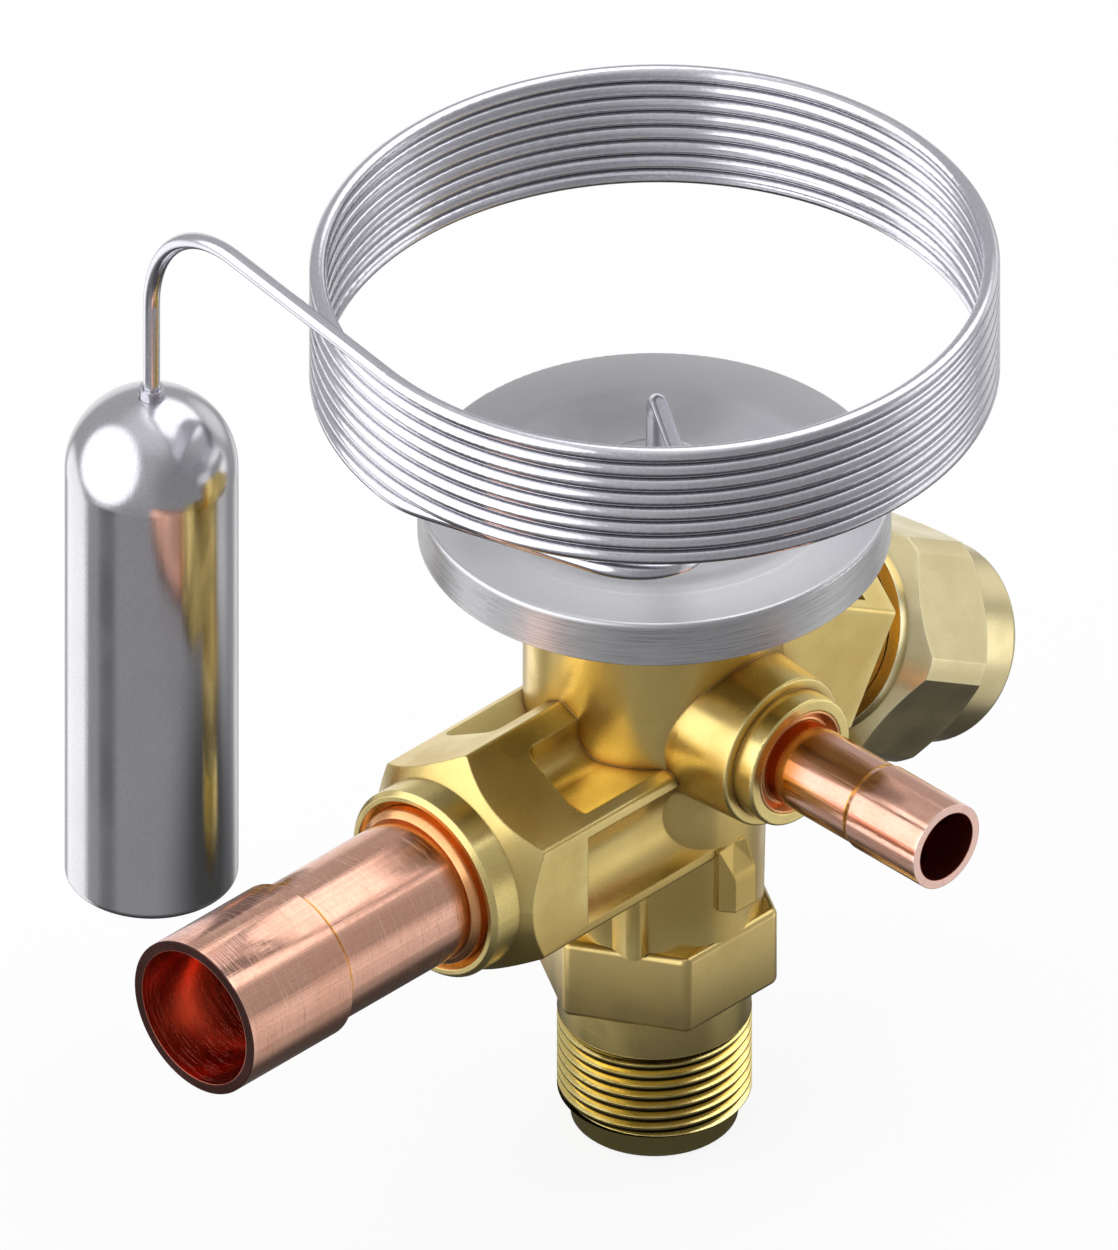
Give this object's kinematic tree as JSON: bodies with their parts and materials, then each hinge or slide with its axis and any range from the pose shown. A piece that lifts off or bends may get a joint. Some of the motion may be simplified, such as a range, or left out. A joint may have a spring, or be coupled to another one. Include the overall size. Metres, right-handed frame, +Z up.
{
  "type": "thermostatic expansion valve",
  "caption": "Thermostatic expansion valve: forged brass body, copper stubs, steel power element, coiled capillary and sensing bulb, slanted superheat adjuster under a hexagon seal cap.",
  "frame": {"origin": "centre of the inlet's flat end face, at the bottom of the valve", "axes": "+Z up the valve axis from the inlet to the power element, -X along the outlet stub, -Y along the equalizer stub, the adjuster slants down towards +X"},
  "size_m": [0.0903, 0.0762, 0.0863],
  "materials": {
    "forged_brass": "satin, forged and dull nickel-free",
    "turned_brass": "turned, semi-bright",
    "cap_brass": "satin with bright edges",
    "copper": "drawn copper with light scratches",
    "braze": "smooth braze fillet",
    "element_steel": "satin top, brushed band",
    "capillary_steel": "drawn, semi-bright",
    "bulb_steel": "drawn, semi-bright",
    "inner_steel": "ground",
    "spring_steel": "spring wire",
    "seal_rubber": "matt",
    "gasket_fibre": "matt fibre"
  },
  "bodies": {
    "body": {"valve_body": "forged_brass", "outlet_tube": "copper", "outlet_braze_ring": "braze", "equalizer_tube": "copper", "equalizer_braze_ring": "braze", "element_cover": "element_steel", "element_base": "element_steel", "element_gasket": "gasket_fibre", "diaphragm": "inner_steel", "capillary_tube": "capillary_steel", "capillary_ferrule": "capillary_steel", "bulb_ferrule": "capillary_steel", "sensing_bulb": "bulb_steel", "orifice_seat": "inner_steel", "cone_spring": "spring_steel", "spring_retainer": "turned_brass", "strainer_frame": "turned_brass", "strainer_mesh": "inner_steel", "guide_bush": "turned_brass", "pin_seal": "seal_rubber", "superheat_spring": "spring_steel", "spindle_housing": "turned_brass", "spindle_o_ring": "seal_rubber"},
    "push_pin": {"push_pin": "inner_steel", "pressure_plate": "inner_steel", "valve_cone": "inner_steel"},
    "spring_seat": {"spring_seat": "turned_brass"},
    "adjusting_nut": {"adjusting_nut": "turned_brass"},
    "adjusting_spindle": {"adjusting_spindle": "inner_steel"},
    "cap_gasket": {"cap_gasket": "gasket_fibre"},
    "seal_cap": {"seal_cap": "cap_brass"}
  },
  "joints": [
    {"name": "valve_stroke", "type": "slide", "parent": "body", "child": "push_pin", "axis": [0, 0, 1], "range_m": [-0.0008, 0], "stiffness_N_per_m": 400, "springref_m": 0.0005, "deforming": ["superheat_spring", "cone_spring", "diaphragm"]},
    {"name": "spindle_turn", "type": "hinge", "parent": "body", "child": "adjusting_spindle", "pos_m": [0, 0, 0.04999], "axis": [0.8607, 0, -0.509], "range_deg": [-721, 721]},
    {"name": "nut_turn", "type": "hinge", "parent": "body", "child": "adjusting_nut", "pos_m": [0, 0, 0.04999], "axis": [0, 0, 1], "range_deg": [-361, 361]},
    {"name": "spring_seat_lift", "type": "slide", "parent": "body", "child": "spring_seat", "axis": [0, 0, 1], "range_m": [-0.00075, 0.00075], "deforming": ["superheat_spring"]},
    {"name": "cap_travel", "type": "slide", "parent": "body", "child": "cap_gasket", "axis": [0.8607, 0, -0.509], "range_m": [0, 0.006]},
    {"name": "cap_turn", "type": "hinge", "parent": "cap_gasket", "child": "seal_cap", "pos_m": [0, 0, 0.04999], "axis": [0.8607, 0, -0.509], "range_deg": [0, 2161]}
  ],
  "couplings": [
    {"joint": "spindle_turn", "follows": "spring_seat_lift", "rad_per_m": -16755},
    {"joint": "nut_turn", "follows": "spring_seat_lift", "rad_per_m": -8377.6},
    {"joint": "cap_turn", "follows": "cap_travel", "rad_per_m": 6283.2}
  ]
}
